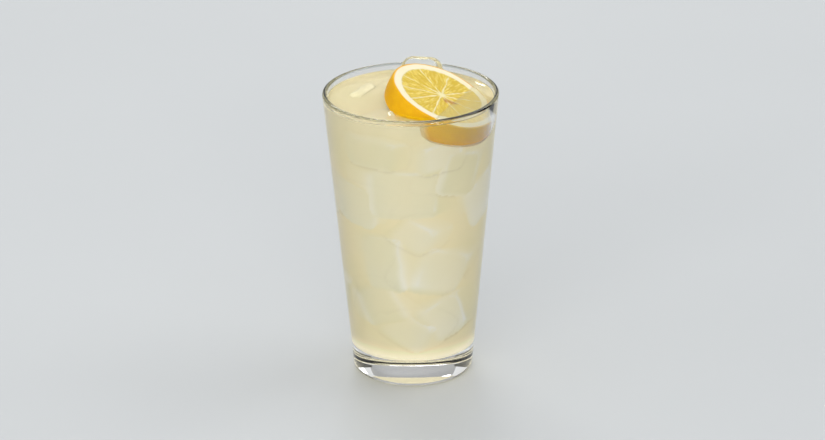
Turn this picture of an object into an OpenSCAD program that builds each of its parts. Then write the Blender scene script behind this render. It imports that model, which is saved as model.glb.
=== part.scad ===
// A straight-sided conical tumbler of lemonade, with a thick lemon slice that leans
// against the rim and two ice blocks that break the surface. All sizes in millimetres.
// The origin is at the middle of the base, on the table, with +Z up.

/* [Glass] */
// Outside diameter of the rim
rim_d = 88.9; // [80:0.1:100]
// Outside diameter of the cone where it meets the table
foot_d = 60.4; // [56:0.1:72]
// Height of the glass
glass_h = 149.2; // [140:0.1:175]
// Thickness of the side wall
wall = 2.3; // [1.8:0.1:3]
// Thickness of the solid base
base_t = 13.4; // [10:0.1:16]
// Radius of the outer heel
heel_r = 3.5; // [2:0.1:6]
// Radius of the inner bottom corner
bowl_corner_r = 7; // [4:0.1:10]
// Depth of the hollow under the base
punt_depth = 1.4; // [0.8:0.1:2.5]
// Width of the flat ring that the glass stands on
foot_ring_w = 3.2; // [2:0.1:5]

/* [Drink] */
// Height of the rim above the drink
rim_gap = 4.2; // [3.5:0.1:6]

/* [Lemon slice] */
// Diameter of the slice across its face
slice_d = 52.8; // [46:0.1:56]
// Thickness of the slice
slice_t = 11.5; // [9:0.1:13]
// How far the rind bulges between the two faces
rind_bulge = 0.5; // [0.2:0.1:1]
// Slope of the slice
slice_tilt = 25; // [20:1:30]
// Compass direction that the slice slopes down to
slice_bearing = -23; // [-40:1:-10]
// Height of the middle of the upper face above the drink
slice_lift = 4.5; // [3:0.1:6]
// Clearance between the slice and the wall
slice_gap = 0.3; // [0.2:0.1:1]

/* [Ice] */
// Width of the back block, along the wall
ice_back_w = 22; // [18:0.5:24]
// Height of the back block
ice_back_h = 24; // [20:0.5:28]
// How far the back block stands out of the drink
ice_back_lift = 10.6; // [8:0.1:12]
// Compass direction of the back block
ice_back_bearing = 80; // [75:1:95]
// Width of the left block, along the wall
ice_left_w = 22; // [18:0.5:24]
// Side of the left block's square section
ice_left_side = 19.5; // [16:0.5:21]
// How far the left block is rolled about its length
ice_left_roll = 30; // [20:1:40]
// How far the left block's ridge stands out of the drink
ice_left_lift = 1.3; // [0.8:0.1:2]
// Compass direction of the left block
ice_left_bearing = 152; // [145:1:165]
// Radius of the melted edges of the ice
ice_edge_r = 4; // [3:0.1:5]
// Clearance between the ice and the wall
ice_gap = 0.4; // [0.2:0.1:1]

/* [Hidden] */
$fn = 128;
ice_fn = 24;
arc_steps = 10;

rim_r = rim_d / 2;
foot_r = foot_d / 2;
slope = (rim_r - foot_r) / glass_h;
lean = atan(slope);
wall_across = wall / cos(lean);
fill_z = glass_h - rim_gap;

function outer_r(z) = foot_r + slope * z;
function inner_r(z) = outer_r(z) - wall_across;

// Points on an arc about c, from angle a to angle b.
function arc(c, r, a, b) = [for (i = [0 : arc_steps]) let (t = a + (b - a) * i / arc_steps)
    [c[0] + r * cos(t), c[1] + r * sin(t)]];

// Centre of an arc of radius r that touches the leaning wall line on its inner side and
// the level line z = floor from above.
function corner_c(r, floor, line_r) = [line_r - r / cos(lean) + slope * (floor + r), floor + r];

heel_c = corner_c(heel_r, 0, foot_r);
bowl_c = corner_c(bowl_corner_r, base_t, foot_r - wall_across);
lip_r = wall / 2;
lip_z = glass_h - lip_r;
lip_c = [(outer_r(lip_z) + inner_r(lip_z)) / 2, lip_z];
ring_in_r = heel_c[0] - foot_ring_w;
punt_r = (ring_in_r * ring_in_r + punt_depth * punt_depth) / (2 * punt_depth);
punt_half = asin(ring_in_r / punt_r);

// Where the slice's upper face has its middle, along its bearing and above the table.
slice_r = slice_d / 2;
slice_z = fill_z + slice_lift;
slice_low_z = slice_z - slice_r * sin(slice_tilt);
slice_out = inner_r(slice_low_z) - slice_gap - slice_r * cos(slice_tilt);

// How far the slice reaches from the axis along a compass direction.
function slice_reach(bearing) =
    let (turn = bearing - slice_bearing, across = sin(slice_tilt) * cos(turn))
    slice_out * cos(turn) + max(0, -slice_t * across)
    + (slice_r + rind_bulge) * sqrt(1 - across * across);

// Distance from the axis to the face of a block of width w that stands against a wall
// of radius r, with both its rounded corners at the clearance.
function seat(r, w) = sqrt(pow(r - ice_gap, 2) - pow(w / 2 - ice_edge_r / 3, 2));

ice_back_z = fill_z + ice_back_lift - ice_back_h / 2;
ice_back_face = seat(inner_r(ice_back_z), ice_back_w);
ice_back_in = slice_reach(ice_back_bearing) + ice_gap;
ice_back_d = ice_back_face - ice_back_in;
ice_back_out = (ice_back_face + ice_back_in) / 2;
ice_left_half = ice_left_side / 2 * (sin(ice_left_roll) + cos(ice_left_roll));
ice_left_top = ice_left_half - ice_edge_r * (sin(ice_left_roll) + cos(ice_left_roll) - 1);
ice_left_z = fill_z + ice_left_lift - ice_left_top;
ice_left_out = seat(inner_r(ice_left_z - ice_left_half), ice_left_w) - ice_left_top;

// A ring section through the glass, from the middle of the punt round to the bowl's floor.
module glass_section() {
    polygon(concat(
        [for (i = [0 : arc_steps]) let (t = punt_half * i / arc_steps)
            [punt_r * sin(t), punt_depth - punt_r * (1 - cos(t))]],
        arc(heel_c, heel_r, -90, -lean),
        arc(lip_c, lip_r, -lean, 180 - lean),
        arc(bowl_c, bowl_corner_r, -lean, -90),
        [[0, base_t]]));
}

// The bowl's inside up to a level, which the glass and the drink share.
module bowl_section(level) {
    polygon(concat(
        [[0, base_t]],
        arc(bowl_c, bowl_corner_r, -90, -lean),
        [[inner_r(level), level], [0, level]]));
}

// Half the outline of the slice: its upper face lies at z = 0.
module slice_section() {
    mid = slice_t / 2;
    bulge_r = (mid * mid + rind_bulge * rind_bulge) / (2 * rind_bulge);
    intersection() {
        translate([slice_r + rind_bulge - bulge_r, -mid]) circle(r = bulge_r, $fn = 720);
        translate([0, -slice_t]) square([slice_r + rind_bulge, slice_t]);
    }
}

// An ice block with melted edges, a little narrower below, centred on the origin.
module ice_block(w, d, h) {
    taper = 0.94;
    hull() {
        for (sx = [-1, 1], sy = [-1, 1], sz = [-1, 1]) {
            k = sz > 0 ? 1 : taper;
            translate([sx * (w * k / 2 - ice_edge_r), sy * (d * k / 2 - ice_edge_r),
                       sz * (h / 2 - ice_edge_r)])
                sphere(r = ice_edge_r, $fn = ice_fn);
        }
    }
}

module glass() {
    color("lightcyan", 0.35) rotate_extrude() glass_section();
}

module lemon_slice() {
    color("gold")
        rotate([0, 0, slice_bearing])
        translate([slice_out, 0, slice_z])
        rotate([0, slice_tilt, 0])
        rotate_extrude() slice_section();
}

module ice_back() {
    color("azure", 0.7)
        rotate([0, 0, ice_back_bearing])
        translate([ice_back_out, 0, ice_back_z])
        rotate([0, 0, 90])
        ice_block(ice_back_w, ice_back_d, ice_back_h);
}

module ice_left() {
    color("azure", 0.7)
        rotate([0, 0, ice_left_bearing])
        translate([ice_left_out, 0, ice_left_z])
        rotate([0, -ice_left_roll, 0])
        rotate([0, 0, 90])
        ice_block(ice_left_w, ice_left_side, ice_left_side);
}

module lemonade() {
    color("khaki", 0.8) difference() {
        rotate_extrude() bowl_section(fill_z);
        lemon_slice();
        ice_back();
        ice_left();
    }
}

glass();
lemonade();
lemon_slice();
ice_back();
ice_left();
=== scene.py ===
"""A conical tumbler of cloudy lemonade with a lemon slice and ice, built as an add-on."""
import math

import bmesh
import bpy
import numpy as np
from bpy.props import FloatProperty, FloatVectorProperty, PointerProperty
from mathutils import Matrix, Vector, noise


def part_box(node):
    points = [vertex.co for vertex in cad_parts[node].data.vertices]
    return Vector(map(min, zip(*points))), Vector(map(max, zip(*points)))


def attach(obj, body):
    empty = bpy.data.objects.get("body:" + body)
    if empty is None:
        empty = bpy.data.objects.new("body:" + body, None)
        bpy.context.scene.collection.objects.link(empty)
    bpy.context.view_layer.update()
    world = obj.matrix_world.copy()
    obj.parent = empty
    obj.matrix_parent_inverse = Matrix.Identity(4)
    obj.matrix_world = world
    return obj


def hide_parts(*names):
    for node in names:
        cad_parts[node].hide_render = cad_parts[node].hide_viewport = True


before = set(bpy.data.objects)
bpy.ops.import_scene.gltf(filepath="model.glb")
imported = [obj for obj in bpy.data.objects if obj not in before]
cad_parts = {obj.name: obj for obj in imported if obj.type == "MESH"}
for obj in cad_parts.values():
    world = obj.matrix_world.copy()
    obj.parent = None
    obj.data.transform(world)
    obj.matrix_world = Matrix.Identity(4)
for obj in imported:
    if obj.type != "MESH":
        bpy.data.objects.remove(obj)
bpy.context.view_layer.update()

bl_info = {
    "name": "Glass of Lemonade",
    "version": (1, 0, 0),
    "blender": (4, 5, 0),
    "location": "View3D > Sidebar > Lemonade",
    "description": "Builds a tumbler of cloudy lemonade with a lemon slice and ice",
    "category": "Object",
}

BOXES = {node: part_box(node)
         for node in ("glass", "lemonade", "lemon_slice", "ice_back", "ice_left")}
LEVEL = BOXES["lemonade"][1][2]
RIM_HEIGHT = BOXES["glass"][1][2]
MM = 0.001
ROOT = "root"
SURFACE_ICE = ("ice_back", "ice_left")
# Upright cards that the glass mirrors: two opposite corners and a grey.
CARDS = [((-0.8, 0.05, 0.0), (-0.8, 1.3, 0.55), 0.02),
         ((0.8, 0.05, 0.0), (0.8, 1.3, 0.55), 0.02),
         ((-1.6, 2.3, 0.0), (1.6, 2.3, 1.9), 0.40)]
# Brown marks in the flesh: place, half length and half width, in millimetres.
STAINS = [(3.9, -3.2, 1.9, 0.9), (5.6, -1.7, 2.2, 0.9), (7.6, -0.6, 1.8, 0.8)]


# --------------------------------------------------------------------------- settings

def length(name, description, default):
    return FloatProperty(name=name, description=description, default=default,
                         min=0.0, unit="LENGTH", precision=5)


def angle(name, description, degrees):
    return FloatProperty(name=name, description=description, default=math.radians(degrees),
                         unit="ROTATION")


def colour(name, description, default):
    return FloatVectorProperty(name=name, description=description, default=default,
                               size=3, min=0.0, max=1.0, subtype="COLOR")


class TumblerSettings(bpy.types.PropertyGroup):
    rim_width: length("Rim", "Outside width of the rim", 0.0889)
    foot_width: length("Foot", "Outside width of the cone at the table", 0.0604)
    wall: length("Wall", "Thickness of the side wall", 0.0023)
    base: length("Base", "Thickness of the solid base", 0.0134)
    heel: length("Heel", "Radius of the outer heel", 0.0035)
    corner: length("Corner", "Radius of the inner bottom corner", 0.007)
    punt: length("Punt", "Depth of the hollow under the base", 0.0014)
    foot_ring: length("Foot ring", "Width of the flat ring under the base", 0.0032)
    tint: colour("Tint", "Colour of the glass", (1.0, 1.0, 1.0))
    # Painted shade: the glass at the lip is tinted darker, standing in for the dark ring that
    # the rim shows.
    lip_shade_tint: colour("Lip tint", "Colour of the glass at the lip", (0.42, 0.45, 0.42))


class DrinkSettings(bpy.types.PropertyGroup):
    lap: length("Lap", "How far the drink reaches into the wall", 0.00015)
    skin: length("Skin", "Depth of clear drink over the cloudy part", 0.0003)
    meniscus: length("Meniscus", "How high the drink climbs the wall", 0.0013)
    creep: length("Creep", "How far out the climb fades", 0.0014)
    cloudy: colour("Cloudy", "Colour of the cloudy drink", (0.955, 0.87, 0.555))
    warm: colour("Warm", "Colour of its warmer patches", (0.985, 0.885, 0.58))
    # Icy and green are the light and dim ends of the sunk ice's colour; each face's random tone
    # plus painted light picks between them.
    icy: colour("Icy", "Colour where ice shows through", (1.0, 0.985, 0.88))
    # Painted light: the cloudy drink glows near the foot, though it is no lamp.
    painted_glow_colour: colour("Let through", "Light that the drink lets through at its foot",
                        (1.0, 0.93, 0.70))
    green: colour("Green", "Colour inside a block of ice", (0.80, 0.755, 0.42))
    # Painted shade: a darker line drawn along the outline of each sunk block.
    edge_shade_line: colour("Edge line", "Colour of a block's outline", (0.45, 0.38, 0.18))
    # Painted highlight: bright streaks on the melted edges of the sunk ice that face the lamp.
    painted_glint: colour("Glint", "Colour of the bright streaks on a block", (1.0, 1.0, 0.97))
    # Strength of that painted glow.
    painted_glow: FloatProperty(name="Glow", description="Strength of the light at the foot",
                        default=0.45)


class SliceSettings(bpy.types.PropertyGroup):
    tilt: angle("Tilt", "Slope of the slice", 25)
    bearing: angle("Bearing", "Compass direction that it slopes down to", -23)
    radius: length("Radius", "Radius of the face", 0.0264)
    thickness: length("Thickness", "Thickness of the slice", 0.0115)
    bulge: length("Bulge", "How far the rind swells", 0.0005)
    zest: length("Zest", "Thickness of the yellow zest", 0.0011)
    pith: length("Pith", "Thickness of the white pith", 0.0035)
    zest_colour: colour("Zest colour", "Colour of the zest", (0.68, 0.335, 0.003))
    zest_bright: colour("Bright zest", "Its brighter patches", (0.76, 0.43, 0.006))
    # Painted light: the slice's parts under the drink take brighter copies of their colours,
    # making up for the little light that reaches them there.
    zest_painted_lit: colour("Wet zest", "Zest under the drink", (1.0, 0.62, 0.0))
    pith_colour: colour("Pith colour", "Colour of the pith", (0.75, 0.66, 0.45))
    pith_bright: colour("Bright pith", "Its brighter patches", (0.78, 0.74, 0.58))
    # Painted light: brighter pith colour under the drink.
    pith_painted_lit: colour("Wet pith", "Pith under the drink", (1.0, 0.93, 0.66))
    flesh_colour: colour("Flesh", "Colour of the flesh", (0.56, 0.385, 0.02))
    flesh_bright: colour("Bright flesh", "Middle of each vesicle", (0.78, 0.62, 0.15))
    # Painted light: brighter flesh colour under the drink.
    flesh_painted_lit: colour("Wet flesh", "Flesh under the drink", (1.0, 0.81, 0.24))
    membrane: colour("Membrane", "Skins between the segments", (0.72, 0.65, 0.36))
    # Painted light: brighter membrane colour under the drink.
    membrane_painted_lit: colour("Wet membrane", "Skins under the drink", (1.0, 0.90, 0.50))
    stain: colour("Stain", "Brown marks beside the core", (0.40, 0.18, 0.04))


class IceSettings(bpy.types.PropertyGroup):
    edge: length("Edge", "Radius of the melted edges", 0.004)
    melted: length("Melted edge", "Radius of the back block's edges, out of the drink", 0.0068)
    wide: length("Width", "Width of the blocks, along the wall", 0.022)
    back_tall: length("Back height", "Height of the back block", 0.024)
    back_deep: length("Back depth", "Depth of the back block", 0.015)
    back_bearing: angle("Back bearing", "Compass direction of the back block", 80)
    left_side: length("Left side", "Side of the left block's section", 0.0195)
    left_bearing: angle("Left bearing", "Compass direction of the left block", 152)
    roll: angle("Roll", "Roll of the left block", 30)


class StageSettings(bpy.types.PropertyGroup):
    floor: colour("Floor", "Colour of the table", (0.455, 0.468, 0.473))
    key: FloatProperty(name="Key light", description="Power of the main light", default=15.0,
                       unit="POWER")
    front: FloatProperty(name="Front light", description="Power of the light in front",
                         default=50.0, unit="POWER")
    strip: FloatProperty(name="Strip light", description="Power of the strip behind",
                         default=4.0, unit="POWER")
    back: FloatProperty(name="Back light", description="Power of the light behind",
                        default=20.0, unit="POWER")
    sky: FloatProperty(name="Sky", description="Strength of the surrounding light", default=0.79)


# -------------------------------------------------------------------- shader expressions

class Signal:
    """A shader socket on which Python's operators add Math nodes."""

    def __init__(self, finish, socket):
        self.finish = finish
        self.socket = socket

    def math(self, operation, *values):
        return self.finish.node("ShaderNodeMath", {"operation": operation},
                                dict(enumerate(values)))

    def __mul__(self, other):
        return self.math("MULTIPLY", self, other)

    def __rmul__(self, other):
        return self.math("MULTIPLY", other, self)


class Finish:
    """One material and its node tree."""

    def __init__(self, name):
        self.material = bpy.data.materials.new(name)
        self.material.use_nodes = True
        self.tree = self.material.node_tree
        self.tree.nodes.clear()

    def node(self, kind, settings=None, inputs=None, output=0):
        """Adds a node, sets its settings, then its sockets' values or links."""
        made = self.tree.nodes.new(kind)
        for key, value in (settings or {}).items():
            setattr(made, key, value)
        for key, value in (inputs or {}).items():
            if isinstance(value, Signal):
                self.tree.links.new(value.socket, made.inputs[key])
            else:
                made.inputs[key].default_value = value
        return Signal(self, made.outputs[output])

    def place(self):
        return self.node("ShaderNodeTexCoord", output="Object")

    def attribute(self, name):
        return self.node("ShaderNodeAttribute", {"attribute_name": name}, output="Fac")

    def clouds(self, scale, detail=3.0, roughness=0.5):
        return self.node("ShaderNodeTexNoise", inputs={
            "Vector": self.place(), "Scale": scale, "Detail": detail, "Roughness": roughness})

    def ramp(self, value, low, high):
        """Goes smoothly from 0 at low to 1 at high."""
        return self.node("ShaderNodeMapRange", {"interpolation_type": "SMOOTHSTEP"}, {
            "Value": value, "From Min": low, "From Max": high})

    def mix(self, factor, first, second):
        factor_in, first_in, second_in, colour_out = 0, 6, 7, 2
        return self.node("ShaderNodeMix", {"data_type": "RGBA"}, {
            factor_in: factor, first_in: self.opaque(first), second_in: self.opaque(second)},
            colour_out)

    @staticmethod
    def opaque(shade):
        return shade if isinstance(shade, Signal) else (*shade, 1.0)

    def bump(self, height, strength, distance):
        return self.node("ShaderNodeBump", inputs={
            "Height": height, "Strength": strength, "Distance": distance})

    def surface(self, **sockets):
        """Ends the tree with a Principled shader; a socket's name is given in snake case."""
        names = {key.replace("_", " ").title().replace("Ior", "IOR"): value
                 for key, value in sockets.items()}
        names["Base Color"] = self.opaque(names["Base Color"])
        shader = self.node("ShaderNodeBsdfPrincipled", inputs=names)
        end = self.tree.nodes.new("ShaderNodeOutputMaterial")
        self.tree.links.new(shader.socket, end.inputs["Surface"])
        return self.material


# ------------------------------------------------------------------------- mesh helpers

def arc(centre, radius, start, end, steps=12):
    """Points on an arc in the (r, z) plane, angles in radians."""
    turns = [start + (end - start) * i / steps for i in range(steps + 1)]
    return [(centre[0] + radius * math.cos(t), centre[1] + radius * math.sin(t))
            for t in turns]


def stretch(first, last, spacing):
    """Points on a straight line, both ends left out, no further apart than spacing."""
    count = max(1, math.ceil(math.dist(first, last) / spacing))
    return [tuple(a + (b - a) * i / count for a, b in zip(first, last))
            for i in range(1, count)]


def lathe(outline, steps):
    """Turns an outline of (r, z) points about the Z axis into a closed mesh."""
    mesh = bmesh.new()
    verts = [mesh.verts.new((r, 0, z)) for r, z in outline]
    edges = [mesh.edges.new(pair) for pair in zip(verts, verts[1:])]
    bmesh.ops.spin(mesh, geom=verts + edges, axis=(0, 0, 1), cent=(0, 0, 0),
                   angle=math.tau, steps=steps, use_merge=True)
    bmesh.ops.remove_doubles(mesh, verts=mesh.verts, dist=1e-6)
    bmesh.ops.recalc_face_normals(mesh, faces=mesh.faces)
    return mesh


def rounded_block(size, edge, cuts):
    """A block with melted edges, centred on the origin."""
    mesh = bmesh.new()
    bmesh.ops.create_cube(mesh, size=1.0)
    bmesh.ops.scale(mesh, vec=size, verts=mesh.verts)
    bmesh.ops.subdivide_edges(mesh, edges=mesh.edges, cuts=cuts, use_grid_fill=True)
    limits = [s / 2 - edge for s in size]
    for vert in mesh.verts:
        inner = Vector([max(-m, min(m, c)) for c, m in zip(vert.co, limits)])
        away = vert.co - inner
        vert.co = inner + away.normalized() * edge if away.length > edge else vert.co
    return mesh


def as_object(name, mesh):
    data = bpy.data.meshes.new(name)
    mesh.to_mesh(data)
    mesh.free()
    data.shade_smooth()
    data.set_sharp_from_angle(angle=math.radians(38))
    made = bpy.data.objects.new(name, data)
    bpy.context.scene.collection.objects.link(made)
    return made


def add_piece(name, mesh, material, stands_for=()):
    """Makes a mesh a piece that rides on the glass."""
    made = as_object(name, mesh)
    made.data.materials.append(material)
    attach(made, ROOT)
    if stands_for:
        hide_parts(*stands_for)
    return made


def clamped(value):
    return min(1.0, max(0.0, value))


def write_attribute(piece, name, values):
    layer = piece.data.attributes.new(name, "FLOAT", "POINT")
    layer.data.foreach_set("value", values)


# ---------------------------------------------------------------------- where things lie

def middle(node):
    low, high = (Vector(corner) for corner in BOXES[node])
    return (low + high) / 2


def slope():
    sizes = bpy.context.scene.tumbler
    return (sizes.rim_width - sizes.foot_width) / 2 / RIM_HEIGHT


def wall_across():
    return bpy.context.scene.tumbler.wall / math.cos(math.atan(slope()))


def inner_radius(z):
    return bpy.context.scene.tumbler.foot_width / 2 + slope() * z - wall_across()


def corner_centre(radius, floor, line_radius):
    """Centre of an arc that touches the leaning wall line and a level floor."""
    lean = math.atan(slope())
    return (line_radius - radius / math.cos(lean) + slope() * (floor + radius), floor + radius)


def bowl_outline(side, floor_gap):
    """The bowl's outline from the middle of its floor to the wall, moved inwards."""
    sizes = bpy.context.scene.tumbler
    lean = math.atan(slope())
    floor = sizes.base + floor_gap
    radius = sizes.corner - floor_gap
    line = sizes.foot_width / 2 - wall_across() - side / math.cos(lean)
    turn = corner_centre(radius, floor, line)
    return [(0.0, floor)] + arc(turn, radius, -math.pi / 2, -lean)


def slice_matrix():
    """Takes slice space, face up at z = 0, to the slice's place."""
    sizes = bpy.context.scene.slice
    turn = Matrix.Rotation(sizes.bearing, 4, "Z") @ Matrix.Rotation(sizes.tilt, 4, "Y")
    face = middle("lemon_slice") + turn.to_3x3() @ Vector((0, 0, sizes.thickness / 2))
    return Matrix.Translation(face) @ turn


def slice_distance(point, matrix_inverse):
    """Distance from a point to the slice's solid."""
    sizes = bpy.context.scene.slice
    local = matrix_inverse @ point
    out = max(0.0, math.hypot(local.x, local.y) - sizes.radius)
    above = max(0.0, local.z, -sizes.thickness - local.z)
    return math.hypot(out, above)


# --------------------------------------------------------------------------- materials

def glass_finish():
    sizes = bpy.context.scene.tumbler
    look = Finish("clear_glass")
    # Painted shade: a darker tint at the lip stands in for the rim's dark ring.
    tint = look.mix(look.attribute("lip"), sizes.tint, sizes.lip_shade_tint)
    ripple = look.bump(look.clouds(38.0, 1.0), 0.06, 0.001)
    return look.surface(base_color=tint, roughness=0.0, ior=1.5, transmission_weight=1.0,
                        normal=ripple)


def liquid_finish():
    look = Finish("clear_drink")
    ripple = look.bump(look.clouds(55.0, 1.0), 0.05, 0.001)
    return look.surface(base_color=(1.0, 0.99, 0.94), roughness=0.0, ior=1.34,
                        specular_ior_level=0.25, transmission_weight=1.0, normal=ripple)


def cloudy_finish():
    sizes = bpy.context.scene.drink
    look = Finish("cloudy_drink")
    drift = look.ramp(look.clouds(38.0, 2.0), 0.35, 0.65)
    shade = look.mix(drift, sizes.cloudy, sizes.warm)
    # The ice colour goes from green to icy with each face's random tone plus painted light:
    # faces turned to the lamp are painted lighter.
    block = look.mix(look.attribute("facet_tone_and_light"), sizes.green, sizes.icy)
    shade = look.mix(look.attribute("ice"), shade, block)
    # Painted shade along the outlines of the sunk ice.
    shade = look.mix(look.attribute("edge_shade_line"), shade, sizes.edge_shade_line)
    # Painted highlight: glints on the sunk ice.
    shade = look.mix(look.attribute("painted_glint"), shade, sizes.painted_glint)
    # Painted light: emission that makes the drink glow towards the foot.
    painted_glow = look.mix(look.attribute("under"), (0.0, 0.0, 0.0), sizes.painted_glow_colour)
    return look.surface(base_color=shade, roughness=0.7, specular_ior_level=0.2,
                        emission_color=painted_glow, emission_strength=sizes.painted_glow)


def rind_finish():
    sizes = bpy.context.scene.slice
    look = Finish("lemon_rind")
    zest = look.attribute("zest")
    pores = look.node("ShaderNodeTexVoronoi", {"feature": "F1"}, {
        "Vector": look.place(), "Scale": 900.0})
    tone = look.ramp(look.clouds(120.0, 3.0), 0.3, 0.7)
    skin = look.mix(tone * 0.5, sizes.zest_colour, sizes.zest_bright)
    soft = look.mix(tone * 0.35, sizes.pith_colour, sizes.pith_bright)
    shade = look.mix(zest, soft, skin)
    # Painted light: brighter colours for the rind under the drink.
    deep = look.mix(zest, sizes.pith_painted_lit, sizes.zest_painted_lit)
    shade = look.mix(look.attribute("sunk"), shade, deep)
    shade = look.mix(look.attribute("fog"), shade, bpy.context.scene.drink.cloudy)
    relief = look.bump(look.ramp(pores, 0.0, 0.5) * zest, 0.5, 0.0003)
    return look.surface(base_color=shade, roughness=0.5, specular_ior_level=0.12,
                        subsurface_weight=0.1, subsurface_scale=0.002,
                        subsurface_radius=(1.0, 0.6, 0.2), normal=relief)


def flesh_finish():
    sizes = bpy.context.scene.slice
    look = Finish("lemon_flesh")
    skin = look.attribute("membrane")
    flesh = look.mix(look.attribute("vesicle"), sizes.flesh_colour, sizes.flesh_bright)
    shade = look.mix(skin, flesh, sizes.membrane)
    # Painted light: brighter colours for the flesh under the drink, mixed in at 0.6.
    deep = look.mix(skin, sizes.flesh_painted_lit, sizes.membrane_painted_lit)
    shade = look.mix(look.attribute("sunk") * 0.6, shade, deep)
    shade = look.mix(look.attribute("stain"), shade, sizes.stain)
    shade = look.mix(look.attribute("fog"), shade, bpy.context.scene.drink.cloudy)
    fine = look.bump(look.clouds(1500.0, 2.0), 0.15, 0.0002)
    return look.surface(base_color=shade, roughness=0.3, specular_ior_level=0.4,
                        subsurface_weight=0.2, subsurface_scale=0.002,
                        subsurface_radius=(1.0, 0.75, 0.25), normal=fine)


def ice_finish(name):
    look = Finish(name)
    ripple = look.bump(look.clouds(160.0, 2.0), 0.25, 0.001)
    return look.surface(base_color=(0.99, 1.0, 0.985), roughness=0.02, ior=1.25,
                        transmission_weight=1.0, normal=ripple)


# ------------------------------------------------------------------------------ pieces

class LEMONADE_OT_tumbler(bpy.types.Operator):
    """Turns the glass: taper, thick base, heel, punt and rounded lip"""
    bl_idname = "lemonade.tumbler"
    bl_label = "Tumbler"

    def execute(self, context):
        sizes = context.scene.tumbler
        lean = math.atan(slope())
        heel = corner_centre(sizes.heel, 0.0, sizes.foot_width / 2)
        lip = sizes.wall / 2
        lip_z = RIM_HEIGHT - lip
        lip_centre = (inner_radius(lip_z) + wall_across() / 2, lip_z)
        ring = heel[0] - sizes.foot_ring
        punt = (ring ** 2 + sizes.punt ** 2) / (2 * sizes.punt)
        half = math.asin(ring / punt)
        under = arc((0.0, sizes.punt - punt), punt, math.pi / 2, math.pi / 2 - half, 10)
        outside = arc(heel, sizes.heel, -math.pi / 2, -lean, 10)
        top = arc(lip_centre, lip, -lean, math.pi - lean, 16)
        inside = bowl_outline(0.0, 0.0)[::-1]
        outline = (under + outside + stretch(outside[-1], top[0], 10 * MM) + top
                   + stretch(top[-1], inside[0], 10 * MM) + inside)
        piece = add_piece("tumbler", lathe(outline, 192), glass_finish(), ["glass"])
        # The painted lip shade is full in the top 0.6 mm of the glass and fades out over the 0.5
        # mm below.
        lip_shade_band, blend = 1.1 * MM, 0.5 * MM
        heights = [(vert.co.z - RIM_HEIGHT + lip_shade_band) / blend for vert in piece.data.vertices]
        write_attribute(piece, "lip", [clamped(height) for height in heights])
        return {"FINISHED"}


class LEMONADE_OT_drink(bpy.types.Operator):
    """Fills the glass: a clear skin with its meniscus, over the cloudy drink"""
    bl_idname = "lemonade.drink"
    bl_label = "Drink"

    def execute(self, context):
        sizes = context.scene.drink
        blank = as_object("clear_blank",
                          self.filling(sizes, 0.7 * sizes.lap, 0.0, 6 * MM, 240))
        rooms = [as_object("ice_room", surface_block(node, 0.2 * MM)) for node in SURFACE_ICE]
        clear = carved(blank, rooms)
        add_piece("clear_drink", clear, liquid_finish(), ["lemonade"])
        blank = as_object("cloudy_blank",
                          self.filling(sizes, sizes.lap, sizes.skin, 0.8 * MM, 320))
        cloudy = carved(blank, slice_rooms())
        piece = add_piece("cloudy_drink", cloudy, cloudy_finish())
        for name, values in ice_marks(piece).items():
            write_attribute(piece, name, values)
        return {"FINISHED"}

    def filling(self, sizes, lap, sunk, row, steps):
        """The bowl's inside up to the meniscus, with its surface lowered by sunk."""
        radius = inner_radius(LEVEL) + lap
        bowl = bowl_outline(-lap, -lap)
        rings, crowding = 70, 1.7
        reach = [radius * (1 - (1 - i / rings) ** crowding) for i in range(rings + 1)][::-1]
        surface = [(r, LEVEL - sunk + sizes.meniscus * math.exp(-(radius - r) / sizes.creep))
                   for r in reach]
        floor = stretch(bowl[0], bowl[1], 2 * MM)
        outline = bowl[:1] + floor + bowl[1:] + stretch(bowl[-1], surface[0], row) + surface
        mesh = lathe(outline, steps)
        back = slice_matrix().inverted()
        for vert in mesh.verts:
            if vert.co.z > LEVEL - sunk - 1e-5:
                gap = slice_distance(Vector((vert.co.x, vert.co.y, LEVEL)), back)
                climb = sizes.meniscus * math.exp(-gap / sizes.creep)
                vert.co.z = max(vert.co.z, LEVEL - sunk + climb)
        return mesh


def carved(blank, cutters):
    """Cuts the cutters out of a blank, removes them all, and gives the mesh left."""
    for cutter in cutters:
        cut = blank.modifiers.new("cut", "BOOLEAN")
        cut.operation = "DIFFERENCE"
        cut.solver = "EXACT"
        cut.object = cutter
    graph = bpy.context.evaluated_depsgraph_get()
    mesh = bmesh.new()
    mesh.from_mesh(blank.evaluated_get(graph).to_mesh())
    for made in [blank, *cutters]:
        bpy.data.objects.remove(made)
    return mesh


def slice_rooms():
    """A close room round the slice, and a dish towards the wall where the drink is clear."""
    sizes = bpy.context.scene.slice
    deep = sizes.thickness - 0.4 * MM
    above = 30 * MM
    aside, shift = math.radians(-85), 7 * MM
    near = sizes.radius - shift
    close = sizes.radius - 1.0 * MM
    hug = [(0.0, -deep / 2), (close, -deep / 2), (close + 0.6 * MM, above), (0.0, above)]
    dish = [(0.0, -deep), (near, -deep), (near + 9 * MM, -deep + 3 * MM),
            (near + 10.2 * MM, -deep + 5 * MM), (near + 10.8 * MM, 0.0),
            (near + 11 * MM, above), (0.0, above)]
    moves = [Matrix.Identity(4),
             Matrix.Translation((shift * math.cos(aside), shift * math.sin(aside), 0))]
    rooms = []
    for outline, move in zip((hug, dish), moves):
        mesh = lathe(outline, 128)
        bmesh.ops.transform(mesh, matrix=slice_matrix() @ move, verts=mesh.verts)
        rooms.append(as_object("slice_room", mesh))
    return rooms


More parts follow.
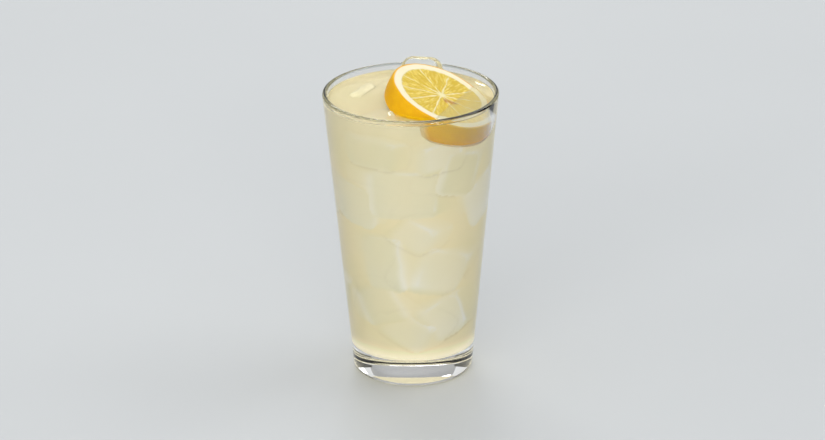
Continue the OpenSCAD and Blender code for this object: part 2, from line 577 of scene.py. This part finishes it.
def surface_block(node, smaller=0.0):
    """A block that breaks the surface, or room for it that is a little smaller."""
    sizes = bpy.context.scene.ice
    if node == "ice_back":
        bearing, roll, edge = sizes.back_bearing, 0.0, sizes.melted
        size = (sizes.back_deep, sizes.wide, sizes.back_tall)
    else:
        bearing, roll, edge = sizes.left_bearing, -sizes.roll, sizes.edge
        size = (sizes.left_side, sizes.wide, sizes.left_side)
    mesh = rounded_block([side - smaller for side in size], edge, 16)
    matrix = (Matrix.Translation(middle(node)) @ Matrix.Rotation(bearing, 4, "Z")
              @ Matrix.Rotation(roll, 4, "Y"))
    bmesh.ops.transform(mesh, matrix=matrix, verts=mesh.verts)
    return mesh


def box_distance(points, size, edge):
    """Distance from points in a rounded block's space to its surface, with its slope."""
    half = np.array(size) / 2 - edge
    over = np.abs(points) - half
    out = np.maximum(over, 0.0)
    away = np.linalg.norm(out, axis=1)
    distance = away + np.minimum(over.max(axis=1), 0.0) - edge
    tilt = np.sign(points) * out / np.maximum(away, 1e-9)[:, None]
    return distance, tilt


def sight_lines(spots):
    """Directions into the drink: inwards and a little down, or straight down at its top."""
    out = np.hypot(spots[:, 0], spots[:, 1])
    look = np.zeros_like(spots)
    look[:, :2] = -spots[:, :2] / np.maximum(out, 1e-6)[:, None]
    look[:, 2] = -0.2
    top = (spots[:, 2] > LEVEL - 0.5 * MM) & (out < inner_radius(LEVEL) - 0.3 * MM)
    look[top] = (0.0, 0.0, -1.0)
    return look / np.linalg.norm(look, axis=1)[:, None]


def nearest_pass(start, along, size, edge):
    """Follows each line past a block: its least gap, how far in that is, and the slope."""
    travel = np.zeros(len(start))
    closest = np.full(len(start), 1.0)
    closest_at = np.zeros(len(start))
    for _ in range(16):
        distance, tilt = box_distance(start + along * travel[:, None], size, edge)
        better = distance < closest
        closest = np.where(better, distance, closest)
        closest_at = np.where(better, travel, closest_at)
        travel += np.maximum(distance, 0.0)
    return closest, closest_at, tilt


def ice_marks(piece):
    """Where sunk ice shows at the wall and the surface: each block is looked for along a
    line into the drink, and it fades with its depth. It also paints light: lit faces,
    painted glints, painted shade along the outlines and the painted glow at the foot."""
    touch, line_width, fade_depth = 0.08 * MM, 0.9 * MM, 7 * MM
    lit_below, lit_blend = 24 * MM, 8 * MM
    count = len(piece.data.vertices)
    spots = np.empty(count * 3)
    piece.data.vertices.foreach_get("co", spots)
    spots = spots.reshape(-1, 3)
    look = sight_lines(spots)
    wave = 0.5 * MM * np.sin(spots[:, [1, 2, 0]] * 210.0 + 1.7) \
        + 0.25 * MM * np.sin(spots[:, [2, 0, 1]] * 520.0)
    lamp = np.array((0.62, -0.25, 0.74))
    lamp /= np.linalg.norm(lamp)
    marks = {name: np.zeros(count) for name in ("ice", "facet_tone_and_light", "edge_shade_line", "painted_glint")}
    nearest = np.full(count, 1.0)
    dice = np.random.default_rng(4)
    for matrix, size in sunk_blocks():
        turn = np.array(matrix.to_3x3())
        start = (spots + wave - np.array(matrix.translation)) @ turn
        closest, closest_at, tilt = nearest_pass(start, look @ turn, size,
                                                 bpy.context.scene.ice.edge)
        hit = closest < touch
        front = hit & (closest_at < nearest)
        fade = np.exp(-closest_at / fade_depth)
        beam = np.exp(-(np.maximum(closest, 0.0) / line_width) ** 2)
        # Painted light: faces turned towards the lamp get a lighter ice colour.
        facing = np.clip(tilt @ (lamp @ turn), 0.0, 1.0)
        tones = dice.uniform(0.0, 1.0, (3, 2))
        sides = (tilt > 0).astype(int)
        tone = sum(tilt[:, axis] ** 2 * tones[axis, sides[:, axis]] for axis in range(3))
        marks["ice"] = np.where(front, fade, marks["ice"])
        marks["facet_tone_and_light"] = np.where(front, np.clip(tone + 0.3 * facing, 0, 1), marks["facet_tone_and_light"])
        # Painted shade: a dark line just outside each block's outline, fading with depth.
        line = np.where(hit, 0.0, beam * fade * (0.4 + 0.6 * tones[0, 1]))
        marks["edge_shade_line"] = np.where(front, 0.0, np.maximum(marks["edge_shade_line"], line))
        # Painted highlight: streaks along the melted edges that face the lamp, broken up by a
        # ripple, fading with depth.
        bend = np.exp(-((np.abs(tilt).max(axis=1) - 0.77) / 0.07) ** 2)
        sparkle = 0.5 + 0.5 * np.sin(spots @ np.array((310.0, 270.0, 190.0)) + 9 * tones[0, 0])
        shine = fade * bend * sparkle * np.clip(2.2 * facing - 0.6, 0.0, 1.0)
        marks["painted_glint"] = np.where(front, shine, marks["painted_glint"])
        nearest = np.where(front, closest_at, nearest)
    marks["ice"] *= 0.95
    marks["edge_shade_line"] *= 0.8
    # Mask of the painted glow: full below 16 mm, fading out by 24 mm.
    marks["under"] = np.clip((lit_below - spots[:, 2]) / lit_blend, 0.0, 1.0) ** 2
    return marks


def sunk_blocks():
    """Places and sizes of the ice below the surface: bearing, height, gap to the wall,
    width, height, depth, turn and lean."""
    rows = [
        (-97, 107, 1.5, 30, 26, 22, 4, 2),
        (-55, 116, 2.0, 20, 24, 22, 12, -14),
        (-22, 98, 1.5, 22, 24, 22, -8, 20),
        (-140, 98, 1.5, 24, 22, 20, 10, -12),
        (-112, 68, 1.2, 18, 30, 18, -6, 5),
        (-68, 62, 3.0, 22, 24, 18, 14, -24),
        (-55, 36, 1.5, 20, 22, 18, -10, 28),
        (20, 60, 1.5, 24, 24, 18, 8, 10),
        (95, 100, 1.5, 26, 24, 20, -5, 8),
        (150, 70, 1.5, 24, 26, 18, 9, -16),
        (85, 50, 1.5, 24, 24, 18, 5, 15),
        (-124, 44, 2.0, 20, 22, 18, 15, 24),
        (-86, 30, 3.5, 20, 18, 16, -25, -35),
        (-84, 84, 4.0, 18, 16, 16, -20, -30),
        (-70, 126, 3.0, 20, 16, 16, 12, 8),
        (-118, 128, 3.0, 22, 16, 16, -10, -6),
        (48, 110, 1.4, 22, 24, 20, 8, 14),
        (132, 116, 1.4, 24, 22, 20, -9, -12),
        (62, 80, 2.0, 20, 22, 18, -12, -22),
        (122, 82, 2.0, 22, 22, 18, 14, 20),
        (172, 98, 1.5, 22, 24, 18, 6, 10),
        (178, 44, 1.8, 20, 22, 16, -8, -18),
        (118, 38, 1.6, 20, 20, 16, 10, 26),
        (36, 34, 1.8, 20, 20, 16, -12, -20),
    ]
    blocks = []
    for bearing, height, gap, width, tall, deep, turn, lean in rows:
        z = height * MM
        reach = inner_radius(z) - (gap + deep / 2) * MM
        flat = math.sqrt(max(0.0, (reach + deep / 2 * MM) ** 2 - (width / 2 * MM) ** 2))
        out = flat - deep / 2 * MM
        matrix = (Matrix.Rotation(math.radians(bearing), 4, "Z")
                  @ Matrix.Translation((out, 0, z))
                  @ Matrix.Rotation(math.radians(turn), 4, "Z")
                  @ Matrix.Rotation(math.radians(lean), 4, "X"))
        blocks.append((matrix, (deep * MM, width * MM, tall * MM)))
    return blocks


class LEMONADE_OT_ice(bpy.types.Operator):
    """Adds the two clear blocks that break the surface"""
    bl_idname = "lemonade.ice"
    bl_label = "Ice"

    def execute(self, context):
        for node in SURFACE_ICE:
            name = node.replace("ice", "block")
            add_piece(name, surface_block(node), ice_finish(name), [node])
        return {"FINISHED"}


class LEMONADE_OT_slice(bpy.types.Operator):
    """Builds the lemon slice: rind, pith and flesh in segments"""
    bl_idname = "lemonade.slice"
    bl_label = "Lemon slice"

    def execute(self, context):
        sizes = context.scene.slice
        self.place = slice_matrix()
        self.rind(sizes)
        self.flesh(sizes)
        return {"FINISHED"}

    def fog(self, piece):
        """How much the drink in front of each point veils it, at its side or from above."""
        haze, clear_depth, clear_blend, shore = 4 * MM, 8.3 * MM, 1.8 * MM, 1.5 * MM
        wet_level = LEVEL + bpy.context.scene.drink.meniscus
        back = self.place.inverted()
        veils, depths = [], []
        for vert in piece.data.vertices:
            sunk = max(0.0, LEVEL - vert.co.z)
            aside = inner_radius(vert.co.z) - math.hypot(vert.co.x, vert.co.y)
            if (back @ vert.co).z > -0.5 * MM:
                veil = 0.3 - 0.3 * math.exp(-sunk / haze)
            else:
                near = clamped((aside - clear_depth) / clear_blend)
                veil = near * near * (3 - 2 * near) * min(1.0, sunk / shore)
            veils.append(veil)
            depths.append(clamped((wet_level - vert.co.z) / (0.15 * MM)))
        write_attribute(piece, "fog", veils)
        write_attribute(piece, "sunk", depths)

    def rind(self, sizes):
        edge = 0.5 * MM
        outer, deep = sizes.radius, sizes.thickness
        inner = outer - sizes.zest - sizes.pith
        half = deep / 2
        bulge_r = (half ** 2 + sizes.bulge ** 2) / (2 * sizes.bulge)
        swell = [(outer + math.sqrt(bulge_r ** 2 - (z + half) ** 2) - bulge_r + sizes.bulge, z)
                 for z in (-deep + edge + (deep - 2 * edge) * i / 24 for i in range(25))]
        top = stretch((outer - edge, 0.0), (inner, 0.0), 0.35 * MM)
        bottom = stretch((inner, -deep), (outer - edge, -deep), 0.35 * MM)
        outline = ([(inner, -deep)] + bottom
                   + arc((outer - edge, -deep + edge), edge, -math.pi / 2, 0, 5)
                   + swell[1:-1] + arc((outer - edge, -edge), edge, 0, math.pi / 2, 5)
                   + top + [(inner, 0.0), (inner, -deep)])
        mesh = lathe(outline, 300)
        zest = []
        for vert in mesh.verts:
            spot = vert.co / (9 * MM)
            out = math.hypot(vert.co.x, vert.co.y)
            wave = noise.noise(spot) * 0.35 * MM
            zest.append(clamped((out + wave - (outer - sizes.zest)) / (0.35 * MM)))
        bmesh.ops.transform(mesh, matrix=self.place, verts=mesh.verts)
        piece = add_piece("slice_rind", mesh, rind_finish(), ["lemon_slice"])
        write_attribute(piece, "zest", zest)
        self.fog(piece)

    @staticmethod
    def streak(point, x, y, half_length, half_width):
        """A mark that points away from the middle of the slice."""
        heart = Vector((x, y, 0.0)) * MM
        away = heart.normalized()
        gap = Vector((point.x, point.y, 0.0)) - heart
        along = gap.dot(away)
        across = gap.cross(away).length
        return math.exp(-(along / (half_length * MM)) ** 2 - (across / (half_width * MM)) ** 2)

    @staticmethod
    def segment_bounds(segments):
        """Where the segments begin and end, as uneven turns round the core."""
        bounds = [math.tau * (i + 0.22 * math.sin(5.1 * i + 1.0)) / segments
                  for i in range(segments)]
        return [0.0] + bounds[1:] + [math.tau]

    @staticmethod
    def segment(point, bounds, outer):
        """How much a point is membrane, and how near the middle of a vesicle it lies."""
        r = math.hypot(point.x, point.y)
        turn = math.atan2(point.y, point.x) % math.tau
        index = max(i for i in range(len(bounds) - 1) if bounds[i] <= turn)
        low, high = bounds[index], bounds[index + 1]
        sway = 0.5 * MM * noise.noise(Vector((r / (3 * MM), index * 3.1, 0.0)))
        aside = min(abs((turn - low) * r - sway), abs((high - turn) * r + sway))
        width = (0.28 + 0.30 * noise.noise(Vector((r / (5 * MM), index * 5.7, 4.0)))
                 + 0.35 * math.exp(-r / (4 * MM))) * MM
        core = (2.0 + 1.1 * noise.noise(Vector((point.x, point.y, 0.0)) / (2 * MM))) * MM
        edge = outer - r + 0.5 * MM * noise.noise(Vector((turn * 9, 2.0, 0.0)))
        skin = max(math.exp(-(aside / max(width, 0.12 * MM)) ** 2),
                   math.exp(-(max(0.0, edge) / (0.45 * MM)) ** 2),
                   1 / (1 + math.exp(min(50.0, (r - core) / (0.22 * MM)))))
        across = (turn - (low + high) / 2) * r
        near = noise.voronoi(Vector((r / (4.2 * MM), across / (1.1 * MM), index * 7.3)))[0]
        cell = min(1.0, 1.4 * (near[1] - near[0]))
        streak = noise.noise(Vector((r / (6 * MM), across / (0.7 * MM), index * 2.2)))
        return skin, cell, clamped(0.75 * cell + 0.7 * streak)

    def flesh(self, sizes):
        outer = sizes.radius - sizes.zest - sizes.pith + 0.05 * MM
        deep = sizes.thickness
        face = stretch((outer, 0.0), (0.0, 0.0), 0.3 * MM)
        outline = ([(0.0, -deep)] + [(r, -deep) for r, _ in face[::-1]]
                   + [(outer, -deep), (outer, -deep / 2), (outer, 0.0)] + face + [(0.0, 0.0)])
        mesh = lathe(outline, 360)
        bounds = self.segment_bounds(10)
        skins, tones, stains = [], [], []
        for vert in mesh.verts:
            skin, cell, tone = self.segment(vert.co, bounds, outer)
            lift = 0.3 * MM * (cell - 0.4) * (1 - skin) - 0.12 * MM * (1 - skin)
            if vert.co.z > -0.1 * MM:
                vert.co.z += lift
            elif vert.co.z < -deep + 0.1 * MM:
                vert.co.z -= lift
            skins.append(skin)
            tones.append(tone)
            stains.append(clamped(sum(self.streak(vert.co, *stain) for stain in STAINS)))
        bmesh.ops.transform(mesh, matrix=self.place, verts=mesh.verts)
        piece = add_piece("slice_flesh", mesh, flesh_finish())
        write_attribute(piece, "membrane", skins)
        write_attribute(piece, "stain", stains)
        write_attribute(piece, "vesicle", tones)
        self.fog(piece)


class LEMONADE_OT_stage(bpy.types.Operator):
    """Sets the table, the lights and the camera"""
    bl_idname = "lemonade.stage"
    bl_label = "Stage"

    def execute(self, context):
        settings = context.scene.stage
        self.table(settings)
        self.lights(context, settings)
        self.camera(context)
        context.scene.view_settings.view_transform = "Standard"
        context.scene.cycles.max_bounces = 32
        context.scene.cycles.transmission_bounces = 24
        context.scene.cycles.diffuse_bounces = 8
        return {"FINISHED"}

    def table(self, settings):
        mesh = bmesh.new()
        bmesh.ops.create_grid(mesh, x_segments=1, y_segments=1, size=4.0)
        look = Finish("table")
        tone = look.ramp(look.clouds(3.0, 3.0), 0.2, 0.8)
        brighter = tuple(min(1.0, c * 1.03) for c in settings.floor)
        shade = look.mix(tone, settings.floor, brighter)
        table = as_object("table", mesh)
        table.data.materials.append(look.surface(base_color=shade, roughness=0.45))
        for low, high, shade in CARDS:
            self.card(low, high, shade)

    def card(self, low, high, shade):
        """A card that only mirrored and bent light meets."""
        mesh = bmesh.new()
        corners = [low, (high[0], high[1], low[2]), high, (low[0], low[1], high[2])]
        mesh.faces.new([mesh.verts.new(corner) for corner in corners])
        card = as_object("card", mesh)
        card.data.materials.append(Finish("card").surface(
            base_color=(shade, shade, shade), roughness=0.9))
        card.visible_camera = False
        card.visible_diffuse = False
        card.visible_shadow = False

    def lights(self, context, settings):
        world = bpy.data.worlds.new("sky")
        world.use_nodes = True
        backdrop = world.node_tree.nodes["Background"]
        backdrop.inputs["Color"].default_value = (0.96, 0.98, 1.0, 1.0)
        backdrop.inputs["Strength"].default_value = settings.sky
        context.scene.world = world
        for name, power, size, place in (
                ("key", settings.key, (1.8, 1.5), Vector((1.6, 0.5, 1.4))),
                ("front", settings.front, (2.8, 1.3), Vector((-0.5, -2.4, 1.0))),
                ("strip", settings.strip, (0.9, 0.12), Vector((-0.35, 1.5, 1.15))),
                ("back", settings.back, (2.0, 0.5), Vector((-0.2, 1.9, 1.75)))):
            data = bpy.data.lights.new(name, "AREA")
            data.shape = "RECTANGLE"
            data.size, data.size_y = size
            data.energy = power
            lamp = bpy.data.objects.new(name, data)
            lamp.location = place
            aim = Vector((0, 0, 0.07)) - place
            lamp.rotation_euler = aim.to_track_quat("-Z", "Y").to_euler()
            lamp.visible_glossy = name != "back"
            context.scene.collection.objects.link(lamp)

    def camera(self, context):
        data = bpy.data.cameras.new("camera")
        data.lens = 174.15
        camera = bpy.data.objects.new("camera", data)
        right = Vector((0.99995557, -0.00368024, -0.00867814))
        up = Vector((0.00942464, 0.37329353, 0.92766541))
        back = right.cross(up)
        turn = Matrix((right, up, back)).transposed().to_4x4()
        camera.matrix_world = Matrix.Translation((0, -1.878548, 0.835536)) @ turn
        context.scene.collection.objects.link(camera)
        context.scene.camera = camera


class LEMONADE_PT_panel(bpy.types.Panel):
    """Lists the builders"""
    bl_idname = "LEMONADE_PT_panel"
    bl_label = "Glass of Lemonade"
    bl_space_type = "VIEW_3D"
    bl_region_type = "UI"
    bl_category = "Lemonade"

    def draw(self, context):
        for builder in BUILDERS:
            self.layout.operator(builder.bl_idname)


GROUPS = {"tumbler": TumblerSettings, "drink": DrinkSettings, "slice": SliceSettings,
          "ice": IceSettings, "stage": StageSettings}
BUILDERS = [LEMONADE_OT_tumbler, LEMONADE_OT_slice, LEMONADE_OT_drink, LEMONADE_OT_ice,
            LEMONADE_OT_stage]


def register():
    for cls in [*GROUPS.values(), *BUILDERS, LEMONADE_PT_panel]:
        bpy.utils.register_class(cls)
    for name, group in GROUPS.items():
        setattr(bpy.types.Scene, name, PointerProperty(type=group))


def unregister():
    for name in GROUPS:
        delattr(bpy.types.Scene, name)
    for cls in reversed([*GROUPS.values(), *BUILDERS, LEMONADE_PT_panel]):
        bpy.utils.unregister_class(cls)


def main():
    register()
    for builder in BUILDERS:
        group, name = builder.bl_idname.split(".")
        getattr(getattr(bpy.ops, group), name)()


if __name__ == "__main__":
    main()
